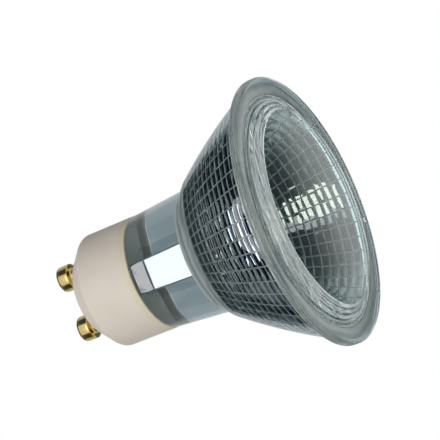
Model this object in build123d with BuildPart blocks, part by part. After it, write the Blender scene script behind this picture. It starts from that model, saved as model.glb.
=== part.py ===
"""Mains halogen reflector lamp: pressed glass reflector and front glass, ceramic cap, two brass contacts.

Sizes are in millimetres. The lamp stands on the window of its front glass, so Z runs from there up to
the tips of the contacts, and X runs through both contacts. Z = 0 is the window's outer face.
"""
import math
import os

from build123d import *

# Front glass: a raised window, steps down to a trough, and a flange with a round edge and two notches
rim_radius = 25.35
window_rise = 1.3
window_thickness = 2.2
window_edge_round = 0.35
step_count = 3
step_face_run = 0.34
step_face_rise = 0.5
step_tread_run = 0.51
step_tread_rise = 0.07
trough_width = 0.65
flange_width = 3.1
flange_thickness = 1.6
flange_edge_round = 0.35
rim_notch_radius = 0.8
rim_notch_depth = 0.45
rim_notch_angle = 104
rim_notch_spread = 35
glass_spigot_wall = 0.9
glass_spigot_height = 0.8
glass_spigot_clearance = 0.2

# Adhesive between the front glass and the mouth of the reflector
adhesive_thickness = 0.15
adhesive_fillet = 0.35

# Reflector: pressed glass bowl, shoulder, neck and the spigot that goes into the cap
flange_overhang = 1.25
mouth_wall = 1.7
bowl_depth = 17.15
bowl_bulge = 0.45
shoulder_radius = 14.1
shoulder_height = 2.3
neck_radius = 11.95
neck_length = 11.9
neck_corner_round = 0.4
neck_spigot_radius = 9.85
neck_spigot_length = 6.8
neck_end_chamfer = 0.5

# Mirror inside the bowl: flat facets in rings on a paraboloid, down to a floor past the shoulder
facet_columns = 48
facet_rings = 16
floor_past_shoulder = 1.4
vertex_past_floor = 1.1

# Quartz capsule: domed tube with its exhaust tip, and the flat pinch
bulb_radius = 4.7
bulb_wall = 0.9
bulb_length = 8.5
bulb_dome_depth = 3.3
bulb_taper = 3.1
tip_radius = 0.9
tip_end_radius = 0.3
tip_length = 1.5
tip_root = 0.3
pinch_thickness = 3.6
pinch_width = 8.4
pinch_length = 9.0
pinch_corner = 1.2
pinch_past_floor = 0.4
pinch_waist_depth = 0.3
pinch_waist_width = 3.0
pinch_waist_length = 6.4
pinch_waist_corner = 0.6

# Slot through the neck for the pinch with its cement, narrowing to the cap, and the recess behind it
cement_wall_thin = 0.6
cement_wall_wide = 0.7
slot_draft = 1.7
slot_corner = 0.3
recess_wall = 2.25
recess_depth = 6.0

# Cement round the pinch and between the neck's spigot and the cap
cement_clearance = 0.05
pinch_cement_setback = 0.65
cap_cement_gap = 0.3
cap_cement_setback = 1.0

# Molybdenum foils in the pinch
foil_thickness = 0.08
foil_width = 2.2
foil_length = 6.6
foil_setback = 1.1
foil_offset = 2.3
foil_lap = 1.0

# Filament and the wires inside the capsule
coil_radius = 0.6
coil_bore_radius = 0.34
coil_leg_offset = 1.9
coil_leg_length = 4.4
coil_overlap = 1.0
coil_past_bulb = 0.4
inner_wire_radius = 0.3
inner_bend_radius = 0.5
inner_bend_gap = 0.3
inner_bend_length = 0.85
support_wire_radius = 0.2
support_gap = 0.05
support_tail = 0.6
support_in_pinch = 1.7
wire_clearance = 0.02

# Ceramic cap
cap_wall = 0.9
cap_joint_gap = 0.1
cap_joint_step = 0.05
cap_room = 1.8
cap_floor_thickness = 5.4
cap_face_margin = 0.15
cap_edge_round = 0.25
cap_bevel_round = 0.6

# Contacts: turned brass, with a foot, a neck and a mushroom head outside the cap
contact_pitch = 10.0
contact_foot_radius = 2.4
contact_foot_height = 1.2
contact_neck_radius = 1.5
contact_neck_height = 1.5
contact_head_radius = 2.5
contact_head_height = 2.5
contact_head_round = 0.55
contact_shank_radius = 1.5
contact_shank_clearance = 0.05
contact_rivet_radius = 2.1
contact_rivet_height = 0.6
contact_bore_radius = 0.6
contact_bore_depth = 5.0

# Outer leads, their sleeves and their solder
outer_wire_radius = 0.4
lead_past_pinch = 1.0
lead_before_recess = 0.5
lead_before_floor = 2.8
lead_in_contact = 3.5
lead_bend_radius = 1.6
sleeve_radius = 1.0
sleeve_bore_clearance = 0.1
sleeve_share = 0.62
solder_radius = 1.3
solder_height = 0.7
solder_end_wall = 0.04

# Heights, stacked from the window's face
flange_back_z = window_rise + flange_thickness
glass_spigot_end_z = flange_back_z + glass_spigot_height
mouth_z = flange_back_z + adhesive_thickness
shoulder_z = mouth_z + bowl_depth
neck_z = shoulder_z + shoulder_height
mirror_floor_z = neck_z + floor_past_shoulder
mirror_vertex_z = mirror_floor_z + vertex_past_floor
cap_joint_z = neck_z + neck_length
neck_end_z = cap_joint_z + neck_spigot_length
recess_z = neck_end_z - recess_depth
cap_floor_z = neck_end_z + cap_room
rivet_z = cap_floor_z - contact_rivet_height
cap_end_z = cap_floor_z + cap_floor_thickness
foot_z = cap_end_z + contact_foot_height
head_z = foot_z + contact_neck_height
contact_end_z = head_z + contact_head_height
pinch_start_z = mirror_floor_z + pinch_past_floor
pinch_end_z = pinch_start_z + pinch_length
foil_start_z = pinch_start_z + foil_setback
foil_end_z = foil_start_z + foil_length
lead_turn_z = max(pinch_end_z + lead_past_pinch, recess_z - lead_before_recess)
bulb_shoulder_z = pinch_start_z - bulb_taper
bulb_front_z = bulb_shoulder_z - bulb_length
coil_start_z = bulb_shoulder_z + coil_past_bulb
coil_bend_z = coil_start_z - coil_leg_length
coil_peak_z = coil_bend_z - coil_leg_offset

# Radii and offsets that follow from the pieces they fit
flange_front_radius = rim_radius - flange_edge_round
trough_radius = flange_front_radius - flange_width
window_radius = trough_radius - trough_width - step_count * (step_face_run + step_tread_run)
mouth_outer_radius = rim_radius - flange_overhang
mouth_inner_radius = mouth_outer_radius - mouth_wall
mirror_focus = mouth_inner_radius ** 2 / (4 * (mirror_vertex_z - mouth_z))
slot_thickness = pinch_thickness + 2 * cement_wall_thin
slot_width = pinch_width + 2 * cement_wall_wide
recess_radius = neck_spigot_radius - recess_wall
cap_socket_radius = neck_spigot_radius + cap_cement_gap
cap_radius = cap_socket_radius + cap_wall
bulb_bore_radius = bulb_radius - bulb_wall
contact_x = contact_pitch / 2
cap_bevel = cap_radius - contact_x - contact_foot_radius - cap_face_margin
inner_wire_x = foil_thickness / 2 + inner_wire_radius
outer_wire_x = -foil_thickness / 2 - outer_wire_radius
hook_radius = coil_radius + support_gap + support_wire_radius
lamp_axis = Axis.Z
contact_axis = Axis((contact_x, 0, 0), (0, 0, 1))


def mirror_radius(z):
    """Radius of the mirror's paraboloid at a height."""
    return math.sqrt(4 * mirror_focus * (mirror_vertex_z - z))


def slot_outline(z, clearance=0):
    """Thickness, width and corner radius of the neck's slot at a height, less a clearance all round."""
    draft = (pinch_end_z - z) * math.tan(math.radians(slot_draft))
    grown = 2 * (draft - clearance)
    return slot_thickness + grown, slot_width + grown, slot_corner - clearance


def keep(builder, name):
    """Label a finished piece and write its STEP file."""
    builder.part.label = name
    export_step(builder.part, f"parts/{name}.step")


def turned_copy(builder):
    """The same piece half a turn round the lamp's axis."""
    with BuildPart() as copy:
        add(builder.part.rotate(lamp_axis, 180))
    return copy


def wire(route, bend_radius, wire_radius):
    """A round wire along straight runs joined by tangent arcs."""
    with BuildPart() as piece:
        with BuildLine() as path:
            FilletPolyline(*route, radius=bend_radius)
        with BuildSketch(Plane(origin=path.line @ 0, z_dir=path.line % 0)):
            Circle(wire_radius)
        sweep(path=path.line)
    return piece


os.makedirs("parts", exist_ok=True)

# Front glass, one pressing: profile from the axis out to the rim, and back along the inner face
steps = []
for number in range(step_count):
    foot_r = window_radius + number * (step_face_run + step_tread_run)
    rise_z = number * (step_face_rise + step_tread_rise)
    steps.append((foot_r, rise_z))
    steps.append((foot_r + step_face_run, rise_z + step_face_rise))
trough_z = step_count * (step_face_rise + step_tread_rise)
with BuildPart() as front_glass:
    with BuildSketch(Plane.XZ):
        with BuildLine():
            glass_spigot_radius = (
                mirror_radius(glass_spigot_end_z) * math.cos(math.pi / facet_columns) - glass_spigot_clearance
            )
            Polyline(
                (0, 0),
                *steps,
                (trough_radius - trough_width, trough_z),
                (trough_radius, trough_z),
                (flange_front_radius, window_rise),
                (rim_radius, window_rise + flange_edge_round),
                (rim_radius, flange_back_z),
                (glass_spigot_radius, flange_back_z),
                (glass_spigot_radius, glass_spigot_end_z),
                (glass_spigot_radius - glass_spigot_wall, glass_spigot_end_z),
                (glass_spigot_radius - glass_spigot_wall, window_thickness),
                (0, window_thickness),
                close=True,
            )
        make_face()
    revolve(axis=lamp_axis)
    face_circles = front_glass.edges().filter_by(GeomType.CIRCLE).group_by(Axis.Z)[0]
    fillet(face_circles.sort_by(SortBy.RADIUS)[-1], window_edge_round)
    notch_offset = rim_radius + rim_notch_radius - rim_notch_depth
    with BuildSketch(Plane.XY.offset(window_rise)):
        with PolarLocations(notch_offset, 2, rim_notch_angle, rim_notch_spread, endpoint=True):
            Circle(rim_notch_radius)
    extrude(amount=flange_thickness, mode=Mode.SUBTRACT)
keep(front_glass, "front_glass")

# Adhesive bead, with the small fillet that squeezes out behind the flange
with BuildPart() as rim_adhesive:
    with BuildSketch(Plane.XZ):
        with BuildLine():
            Polyline(
                (mouth_inner_radius, flange_back_z),
                (mouth_outer_radius + adhesive_fillet, flange_back_z),
                (mouth_outer_radius, mouth_z),
                (mouth_inner_radius, mouth_z),
                close=True,
            )
        make_face()
    revolve(axis=lamp_axis)
keep(rim_adhesive, "rim_adhesive")

# Reflector, one pressing: outside turned from a profile, then the faceted mirror, slot and recess
with BuildPart() as reflector:
    with BuildSketch(Plane.XZ):
        with BuildLine():
            bowl = SagittaArc((mouth_outer_radius, mouth_z), (shoulder_radius, shoulder_z), -bowl_bulge)
            Polyline(
                bowl @ 1,
                (neck_radius, neck_z),
                (cap_radius - cap_joint_step, cap_joint_z),
                (neck_spigot_radius, cap_joint_z),
                (neck_spigot_radius, neck_end_z),
                (0, neck_end_z),
                (0, mouth_z),
                bowl @ 0,
            )
        make_face()
    revolve(axis=lamp_axis)
    neck_corner = reflector.edges().filter_by(GeomType.CIRCLE).filter_by_position(Axis.Z, neck_z, neck_z)
    fillet(neck_corner, neck_corner_round)
    neck_end = reflector.edges().filter_by(GeomType.CIRCLE).group_by(Axis.Z)[-1]
    chamfer(neck_end, neck_end_chamfer)
    for ring in range(facet_rings + 1):
        ring_z = mouth_z + (mirror_floor_z - mouth_z) * ring / facet_rings
        with BuildSketch(Plane.XY.offset(ring_z)):
            RegularPolygon(mirror_radius(ring_z), facet_columns)
    loft(ruled=True, mode=Mode.SUBTRACT)
    for slot_z in (mirror_floor_z - slot_corner, recess_z):
        with BuildSketch(Plane.XY.offset(slot_z)):
            RectangleRounded(*slot_outline(slot_z))
    loft(mode=Mode.SUBTRACT)
    with BuildSketch(Plane.XY.offset(recess_z)):
        Circle(recess_radius)
    extrude(amount=recess_depth, mode=Mode.SUBTRACT)
keep(reflector, "reflector")

# Ceramic cap: socket for the neck, bevelled end, and two holes for the shanks of the contacts
with BuildPart() as ceramic_cap:
    with BuildSketch(Plane.XZ):
        with BuildLine():
            Polyline(
                (cap_socket_radius, cap_joint_z + cap_joint_gap),
                (cap_radius, cap_joint_z + cap_joint_gap),
                (cap_radius, cap_end_z - cap_bevel),
                (cap_radius - cap_bevel, cap_end_z),
                (0, cap_end_z),
                (0, cap_floor_z),
                (cap_socket_radius, cap_floor_z),
                close=True,
            )
        make_face()
    revolve(axis=lamp_axis)
    circles = ceramic_cap.edges().filter_by(GeomType.CIRCLE)
    fillet(circles.filter_by_position(Axis.Z, cap_end_z - cap_bevel, cap_end_z), cap_bevel_round)
    mouth_circles = ceramic_cap.edges().filter_by(GeomType.CIRCLE).group_by(Axis.Z)[0]
    fillet(mouth_circles.sort_by(SortBy.RADIUS)[-1], cap_edge_round)
    with Locations(Plane.XY.offset(cap_end_z)):
        with GridLocations(contact_pitch, 0, 2, 1):
            Hole(contact_shank_radius + contact_shank_clearance)
keep(ceramic_cap, "ceramic_cap")

# Cement between the neck's spigot and the cap's socket
with BuildPart() as cap_cement:
    with BuildSketch(Plane.XY.offset(cap_joint_z + cap_joint_gap)):
        Circle(cap_socket_radius - cement_clearance)
        Circle(neck_spigot_radius + cement_clearance, mode=Mode.SUBTRACT)
    extrude(amount=neck_spigot_length - cap_cement_setback)
keep(cap_cement, "cap_cement")

# Contact, turned: foot, neck and mushroom head outside, shank through the cap and rivet inside it
with BuildPart() as contact_right:
    with BuildSketch(Plane.XZ):
        with BuildLine():
            Polyline(
                (contact_x + contact_bore_radius, rivet_z),
                (contact_x + contact_rivet_radius, rivet_z),
                (contact_x + contact_rivet_radius, cap_floor_z),
                (contact_x + contact_shank_radius, cap_floor_z),
                (contact_x + contact_shank_radius, cap_end_z),
                (contact_x + contact_foot_radius, cap_end_z),
                (contact_x + contact_foot_radius, foot_z),
                (contact_x + contact_neck_radius, foot_z),
                (contact_x + contact_neck_radius, head_z),
                (contact_x + contact_head_radius, head_z),
                (contact_x + contact_head_radius, contact_end_z),
                (contact_x, contact_end_z),
                (contact_x, rivet_z + contact_bore_depth),
                (contact_x + contact_bore_radius, rivet_z + contact_bore_depth),
                close=True,
            )
        make_face()
    revolve(axis=contact_axis)
    head_edge = contact_right.edges().filter_by(GeomType.CIRCLE).group_by(Axis.Z)[-1]
    fillet(head_edge, contact_head_round)
keep(contact_right, "contact_right")
keep(turned_copy(contact_right), "contact_left")

# Foil, flat in the middle of the pinch
with BuildPart() as foil_right:
    with BuildSketch(Plane.XY.offset(foil_start_z)):
        with Locations((0, foil_offset)):
            Rectangle(foil_thickness, foil_width)
    extrude(amount=foil_length)
keep(foil_right, "foil_right")
keep(turned_copy(foil_right), "foil_left")

# Inner lead: welded to the foil's face, out of the pinch, and into the end of the coil
inner_turn_z = coil_start_z + inner_bend_gap
inner_route = [
    (inner_wire_x, foil_offset, foil_start_z + foil_lap),
    (inner_wire_x, foil_offset, inner_turn_z + inner_bend_length),
    (0, coil_leg_offset, inner_turn_z),
    (0, coil_leg_offset, coil_start_z - coil_overlap),
]
inner_lead_right = wire(inner_route, inner_bend_radius, inner_wire_radius)
keep(inner_lead_right, "inner_lead_right")
keep(turned_copy(inner_lead_right), "inner_lead_left")

# Filament: the coil's outer form, up one leg, round the hook and down the other
with BuildPart() as filament:
    with BuildLine() as coil_path:
        leg = Line((0, coil_leg_offset, coil_start_z), (0, coil_leg_offset, coil_bend_z))
        bend = ThreePointArc(leg @ 1, (0, 0, coil_peak_z), (0, -coil_leg_offset, coil_bend_z))
        Line(bend @ 1, (0, -coil_leg_offset, coil_start_z))
    with BuildSketch(Plane(origin=coil_path.line @ 0, z_dir=coil_path.line % 0)):
        Circle(coil_radius)
        Circle(coil_bore_radius, mode=Mode.SUBTRACT)
    sweep(path=coil_path.line)
keep(filament, "filament")

# Support wire: from the pinch along the axis, hooked round the coil's bend
with BuildPart() as filament_support:
    with BuildLine() as support_path:
        stem = Line((-hook_radius, 0, pinch_start_z + support_in_pinch), (-hook_radius, 0, coil_peak_z))
        hook = ThreePointArc(stem @ 1, (0, 0, coil_peak_z - hook_radius), (hook_radius, 0, coil_peak_z))
        Line(hook @ 1, (hook_radius, 0, coil_peak_z + support_tail))
    with BuildSketch(Plane(origin=support_path.line @ 0, z_dir=support_path.line % 0)):
        Circle(support_wire_radius)
    sweep(path=support_path.line)
keep(filament_support, "filament_support")

# Quartz capsule, blown and pinched in one: outside, bore, waists, and the pockets of foils and wires
inner_hole = (inner_wire_x, bulb_shoulder_z, foil_start_z + foil_lap, inner_wire_radius)
outer_hole = (outer_wire_x, foil_end_z - foil_lap, pinch_end_z, outer_wire_radius)
with BuildPart() as capsule_envelope:
    with BuildSketch(Plane.XZ):
        with BuildLine():
            dome_z = bulb_front_z + bulb_dome_depth
            Polyline(
                (0, bulb_front_z), (0, bulb_shoulder_z), (bulb_radius, bulb_shoulder_z), (bulb_radius, dome_z)
            )
            EllipticalCenterArc((0, dome_z), bulb_radius, bulb_dome_depth, start_angle=270, arc_size=90)
        make_face()
    revolve(axis=lamp_axis)
    with BuildSketch(Plane.XY.offset(bulb_shoulder_z)):
        Circle(bulb_radius)
    with BuildSketch(Plane.XY.offset(pinch_start_z)):
        RectangleRounded(pinch_thickness, pinch_width, pinch_corner)
    loft()
    with BuildSketch(Plane.XY.offset(pinch_start_z)):
        RectangleRounded(pinch_thickness, pinch_width, pinch_corner)
    extrude(amount=pinch_length)
    with BuildSketch(Plane.XY.offset(bulb_front_z - tip_length)):
        Circle(tip_end_radius)
    with BuildSketch(Plane.XY.offset(bulb_front_z + tip_root)):
        Circle(tip_radius)
    loft()
    with BuildSketch(Plane.XZ):
        with BuildLine():
            bore_dome_depth = bulb_dome_depth - bulb_wall
            bore_floor_depth = bulb_taper - bulb_wall
            bore_front_z = bulb_front_z + bulb_wall
            Line((bulb_bore_radius, bulb_shoulder_z), (bulb_bore_radius, dome_z))
            EllipticalCenterArc((0, dome_z), bulb_bore_radius, bore_dome_depth, start_angle=270, arc_size=90)
            Line((0, bore_front_z), (0, bulb_shoulder_z + bore_floor_depth))
            EllipticalCenterArc((0, bulb_shoulder_z), bulb_bore_radius, bore_floor_depth, arc_size=90)
        make_face()
    revolve(axis=lamp_axis, mode=Mode.SUBTRACT)
    for side in (-1, 1):
        with BuildSketch(Plane.YZ.offset(side * (pinch_thickness / 2 - pinch_waist_depth))):
            with Locations((0, (pinch_start_z + pinch_end_z) / 2)):
                RectangleRounded(pinch_waist_width, pinch_waist_length, pinch_waist_corner)
        extrude(amount=side * pinch_waist_depth, mode=Mode.SUBTRACT)
        with BuildSketch(Plane.XY.offset(foil_start_z)):
            with Locations((0, side * foil_offset)):
                Rectangle(foil_thickness, foil_width)
        extrude(amount=foil_length, mode=Mode.SUBTRACT)
        for hole_x, start_z, end_z, radius in (inner_hole, outer_hole):
            with BuildSketch(Plane.XY.offset(start_z)):
                with Locations((side * hole_x, side * foil_offset)):
                    Circle(radius + wire_clearance)
            extrude(amount=end_z - start_z, mode=Mode.SUBTRACT)
    with BuildSketch(Plane.XY.offset(bulb_shoulder_z)):
        with Locations((-hook_radius, 0)):
            Circle(support_wire_radius + wire_clearance)
    extrude(amount=bulb_taper + support_in_pinch, mode=Mode.SUBTRACT)
keep(capsule_envelope, "capsule_envelope")

# Cement that holds the pinch in the neck's slot
with BuildPart() as pinch_cement:
    for cement_z in (pinch_start_z + pinch_cement_setback, pinch_end_z - pinch_cement_setback):
        with BuildSketch(Plane.XY.offset(cement_z)):
            RectangleRounded(*slot_outline(cement_z, cement_clearance))
    loft()
    with BuildSketch(Plane.XY.offset(pinch_start_z)):
        RectangleRounded(
            pinch_thickness + 2 * cement_clearance,
            pinch_width + 2 * cement_clearance,
            pinch_corner + cement_clearance,
        )
    extrude(amount=pinch_length, mode=Mode.SUBTRACT)
keep(pinch_cement, "pinch_cement")

# Outer lead: from the foil out of the pinch, across to its contact and up into the contact's bore
lead_route = [
    (outer_wire_x, foil_offset, foil_end_z - foil_lap),
    (outer_wire_x, foil_offset, lead_turn_z),
    (contact_x, 0, cap_floor_z - lead_before_floor),
    (contact_x, 0, rivet_z + lead_in_contact),
]
outer_lead_right = wire(lead_route, lead_bend_radius, outer_wire_radius)
keep(outer_lead_right, "outer_lead_right")
keep(turned_copy(outer_lead_right), "outer_lead_left")

# Sleeve on the slanting run of the lead
run_start = Vector(*lead_route[1])
run = Vector(*lead_route[2]) - run_start
with BuildPart() as sleeve_right:
    with BuildSketch(Plane(origin=run_start + run * ((1 - sleeve_share) / 2), z_dir=run)):
        Circle(sleeve_radius)
        Circle(outer_wire_radius + sleeve_bore_clearance, mode=Mode.SUBTRACT)
    extrude(amount=run.length * sleeve_share)
keep(sleeve_right, "sleeve_right")
keep(turned_copy(sleeve_right), "sleeve_left")

# Solder where the lead goes into the contact
with BuildPart() as solder_right:
    with BuildSketch(Plane.XZ):
        with BuildLine():
            solder_bore_x = contact_x + outer_wire_radius + wire_clearance
            Polyline(
                (solder_bore_x, rivet_z),
                (contact_x + solder_radius, rivet_z),
                (solder_bore_x + solder_end_wall, rivet_z - solder_height),
                (solder_bore_x, rivet_z - solder_height),
                close=True,
            )
        make_face()
    revolve(axis=contact_axis)
keep(solder_right, "solder_right")
keep(turned_copy(solder_right), "solder_left")
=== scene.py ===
"""Mains halogen reflector lamp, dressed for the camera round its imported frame.

The lamp stands face down: Z runs from the window of the front glass up to the tips of the contacts, and
X runs through both contacts. Sizes in the classes are in millimetres, and meshes are in metres.
"""
from __future__ import annotations

import logging
import math
from dataclasses import dataclass
from enum import Enum, IntEnum
from typing import Any, Iterable, Sequence

import bmesh
import bpy
from mathutils import Matrix, Vector

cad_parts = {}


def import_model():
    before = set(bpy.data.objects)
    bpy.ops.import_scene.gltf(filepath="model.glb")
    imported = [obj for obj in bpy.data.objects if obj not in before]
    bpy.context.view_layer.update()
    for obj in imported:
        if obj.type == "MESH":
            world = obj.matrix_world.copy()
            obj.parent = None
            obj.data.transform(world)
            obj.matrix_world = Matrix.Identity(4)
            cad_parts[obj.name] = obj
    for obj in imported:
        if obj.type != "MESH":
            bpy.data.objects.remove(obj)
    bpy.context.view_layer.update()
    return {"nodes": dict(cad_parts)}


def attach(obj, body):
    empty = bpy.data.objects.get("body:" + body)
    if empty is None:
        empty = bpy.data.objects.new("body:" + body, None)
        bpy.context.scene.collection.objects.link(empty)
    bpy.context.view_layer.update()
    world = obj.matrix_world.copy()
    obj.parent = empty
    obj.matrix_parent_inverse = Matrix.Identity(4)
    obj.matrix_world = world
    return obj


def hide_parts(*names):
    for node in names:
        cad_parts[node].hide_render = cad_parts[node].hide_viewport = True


log = logging.getLogger("lamp")

Point = tuple[float, float]
Place = tuple[float, float, float]
Socket = bpy.types.NodeSocket
MM = 0.001
WHITE = (1.0, 1.0, 1.0, 1.0)
WAVE_TURNS = 20.0  # what Blender's wave texture multiplies its scale by
CUT_PAST = 1.0  # how far a cutter stands past what it cuts, in millimetres
BORE_SEGMENTS = 40


def linear(colour: str) -> tuple[float, float, float, float]:
    """Turn an sRGB hex colour into linear light.

    Args:
        colour: The colour as "#rrggbb".

    Returns:
        Red, green, blue and alpha, with alpha 1.
    """
    shares = [int(colour[at:at + 2], 16) / 255 for at in (1, 3, 5)]
    return (*(v / 12.92 if v <= 0.04045 else ((v + 0.055) / 1.055) ** 2.4 for v in shares), 1.0)


def add_node(
    tree: bpy.types.NodeTree,
    kind: str,
    values: dict[str | int, Any] | None = None,
    links: dict[str | int, Socket] | None = None,
    **settings: Any,
) -> bpy.types.Node:
    """Add one node to a tree, set it up and link its inputs.

    Args:
        tree: The tree that takes the node.
        kind: The node's type name.
        values: Input values by socket name or number.
        links: Output sockets to link, by the name or number of the input that takes them.
        settings: The node's own properties.

    Returns:
        The new node.
    """
    node = tree.nodes.new(kind)
    for name, value in settings.items():
        setattr(node, name, value)
    for socket, value in (values or {}).items():
        node.inputs[socket].default_value = value
    for socket, source in (links or {}).items():
        tree.links.new(source, node.inputs[socket])
    return node


class Face(IntEnum):
    """The reflector's material numbers, in the order of its finishes."""

    GLASS = 0
    MIRROR = 1
    RIDGE = 2
    CEMENTED = 3
    DULLED = 4


class Slot(Enum):
    """The record's material slots that belong to the pieces made here; no piece is given one here."""

    PRESSED_GLASS = "pressed_glass"
    MIRRORED_GLASS = "mirrored_glass"
    STEATITE = "steatite"
    BRASS = "brass"


@dataclass(frozen=True)
class Finish:
    """What every finish has: a name in the maker's words, and a Principled shader to build on."""

    name: str

    def material(self) -> bpy.types.Material:
        """Build the material, or give the one that was built before."""
        found = bpy.data.materials.get(self.name)
        if found:
            return found
        made = bpy.data.materials.new(self.name)
        made.use_nodes = True
        tree = made.node_tree
        tree.nodes.clear()
        shader = add_node(tree, "ShaderNodeBsdfPrincipled")
        add_node(tree, "ShaderNodeOutputMaterial", links={"Surface": shader.outputs[0]})
        self.dress(tree, shader)
        return made

    def dress(self, tree: bpy.types.NodeTree, shader: bpy.types.Node) -> None:
        """Set up the shader for this finish."""
        raise NotImplementedError

    @staticmethod
    def place(tree: bpy.types.NodeTree) -> Socket:
        """Give the socket of Object coordinates, in metres."""
        return add_node(tree, "ShaderNodeTexCoord").outputs["Object"]

    def noise(self, tree: bpy.types.NodeTree, size_mm: float, detail: float = 2.0) -> Socket:
        """Add a noise pattern.

        Args:
            tree: The material's tree.
            size_mm: The real size of its patches.
            detail: How many finer layers it has.

        Returns:
            The pattern's socket, from 0 to 1.
        """
        node = add_node(
            tree,
            "ShaderNodeTexNoise",
            {"Scale": 1 / (size_mm * MM), "Detail": detail},
            {"Vector": self.place(tree)},
        )
        return node.outputs["Fac"]

    def ridges(
        self, tree: bpy.types.NodeTree, width_mm: float, values: dict[str, float], **kind: str
    ) -> Socket:
        """Add evenly spaced ridges.

        Args:
            tree: The material's tree.
            width_mm: The real width of a ridge, and of the gap after it.
            values: How far they wander and how finely, by socket name.
            kind: Whether they are rings or bands, and their axis.

        Returns:
            The pattern's socket, from 0 to 1.
        """
        scale = math.pi / (width_mm * MM) / WAVE_TURNS
        node = add_node(
            tree, "ShaderNodeTexWave", {"Scale": scale, **values}, {"Vector": self.place(tree)}, **kind
        )
        return node.outputs["Fac"]

    @staticmethod
    def bump(
        tree: bpy.types.NodeTree, shader: bpy.types.Node, height: Socket, depth_mm: float
    ) -> None:
        """Roughen the surface by a height pattern of a real depth."""
        values = {"Strength": 1.0, "Distance": depth_mm * MM}
        node = add_node(tree, "ShaderNodeBump", values, {"Height": height})
        tree.links.new(node.outputs["Normal"], shader.inputs["Normal"])

    @staticmethod
    def between(
        tree: bpy.types.NodeTree, share: Socket, dark: str, light: str
    ) -> Socket:
        """Mix two sRGB colours by a pattern."""
        colours = {"A": linear(dark), "B": linear(light)}
        return add_node(tree, "ShaderNodeMix", colours, {"Factor": share}, data_type="RGBA").outputs["Result"]


@dataclass(frozen=True)
class PressedGlass(Finish):
    """Clear borosilicate pressed in an iron mould and fire polished: it bends the room a little unevenly."""

    tint: str = "#f0f6f4"
    ior: float = 1.47
    roughness: float = 0.0
    wave_mm: float = 7.0
    wave_depth_mm: float = 0.03
    ring_mm: float = 0.0
    ring_depth_mm: float = 0.0

    def dress(self, tree: bpy.types.NodeTree, shader: bpy.types.Node) -> None:
        """Set up clear glass with the slow waves, and the rings if it has them, that the mould leaves."""
        shader.inputs["Base Color"].default_value = linear(self.tint)
        shader.inputs["Transmission Weight"].default_value = 1.0
        shader.inputs["IOR"].default_value = self.ior
        shader.inputs["Roughness"].default_value = self.roughness
        waves = self.noise(tree, self.wave_mm, 1.0)
        if not self.ring_mm:
            self.bump(tree, shader, waves, self.wave_depth_mm)
            return
        wander = {"Distortion": 1.5, "Detail": 1.0, "Detail Scale": 0.3}
        rings = self.ridges(tree, self.ring_mm, wander, wave_type="RINGS", rings_direction="Z")
        share = self.wave_depth_mm / self.ring_depth_mm
        waved = add_node(tree, "ShaderNodeMath", {1: share}, {0: waves}, operation="MULTIPLY").outputs[0]
        both = add_node(tree, "ShaderNodeMath", links={0: waved, 1: rings}, operation="ADD").outputs[0]
        self.bump(tree, shader, both, self.ring_depth_mm)


@dataclass(frozen=True)
class Milky(Finish):
    """A milky body that scatters light: cured silicone adhesive, or glass that the mould dulled."""

    colour: str = "#f6fafa"
    shade: str = "#bccaca"
    streak_mm: float = 1.1
    clearness: float = 0.1
    roughness: float = 0.5

    def dress(self, tree: bpy.types.NodeTree, shader: bpy.types.Node) -> None:
        """Set up the milky body, streaked round the axis where it ran."""
        wander = {"Distortion": 5.0, "Detail": 2.0, "Detail Scale": 0.6}
        streaks = self.ridges(tree, self.streak_mm, wander, wave_type="RINGS", rings_direction="Z")
        colour = self.between(tree, streaks, self.shade, self.colour)
        tree.links.new(colour, shader.inputs["Base Color"])
        shader.inputs["Transmission Weight"].default_value = self.clearness
        shader.inputs["Roughness"].default_value = self.roughness


@dataclass(frozen=True)
class MirrorFilm(Finish):
    """Aluminium evaporated on to glass: seen from either side it mirrors the room, darkened or lightened by
    the colour it is given.
    """

    colour: str = "#b9c8cd"
    roughness: float = 0.02

    def dress(self, tree: bpy.types.NodeTree, shader: bpy.types.Node) -> None:
        """Set up a smooth metal film."""
        shader.inputs["Base Color"].default_value = linear(self.colour)
        shader.inputs["Metallic"].default_value = 1.0
        shader.inputs["Roughness"].default_value = self.roughness


@dataclass(frozen=True)
class Steatite(Finish):
    """Steatite, pressed dry and fired unglazed: matt cream, with a very fine even grain."""

    colour: str = "#ddd3c7"
    shade: str = "#d4cabd"
    scorched: str = "#d3ccb0"
    mouth_mm: tuple[float, float] = (34.5, 36.2)
    roughness: float = 0.55
    cloud_mm: float = 6.0
    grain_mm: float = 0.25
    grain_depth_mm: float = 0.006

    def dress(self, tree: bpy.types.NodeTree, shader: bpy.types.Node) -> None:
        """Set up the clouded cream body, a little yellowed at the mouth, and its grain."""
        body = self.between(tree, self.noise(tree, self.cloud_mm), self.shade, self.colour)
        height = add_node(tree, "ShaderNodeSeparateXYZ", links={0: self.place(tree)}).outputs["Z"]
        low, high = (edge * MM for edge in self.mouth_mm)
        share = add_node(
            tree, "ShaderNodeMapRange", {"From Min": low, "From Max": high}, {"Value": height},
            interpolation_type="SMOOTHSTEP",
        )
        mix = add_node(
            tree, "ShaderNodeMix", {"A": linear(self.scorched)}, {"Factor": share.outputs[0], "B": body},
            data_type="RGBA",
        )
        tree.links.new(mix.outputs["Result"], shader.inputs["Base Color"])
        shader.inputs["Roughness"].default_value = self.roughness
        self.bump(tree, shader, self.noise(tree, self.grain_mm), self.grain_depth_mm)


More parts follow.
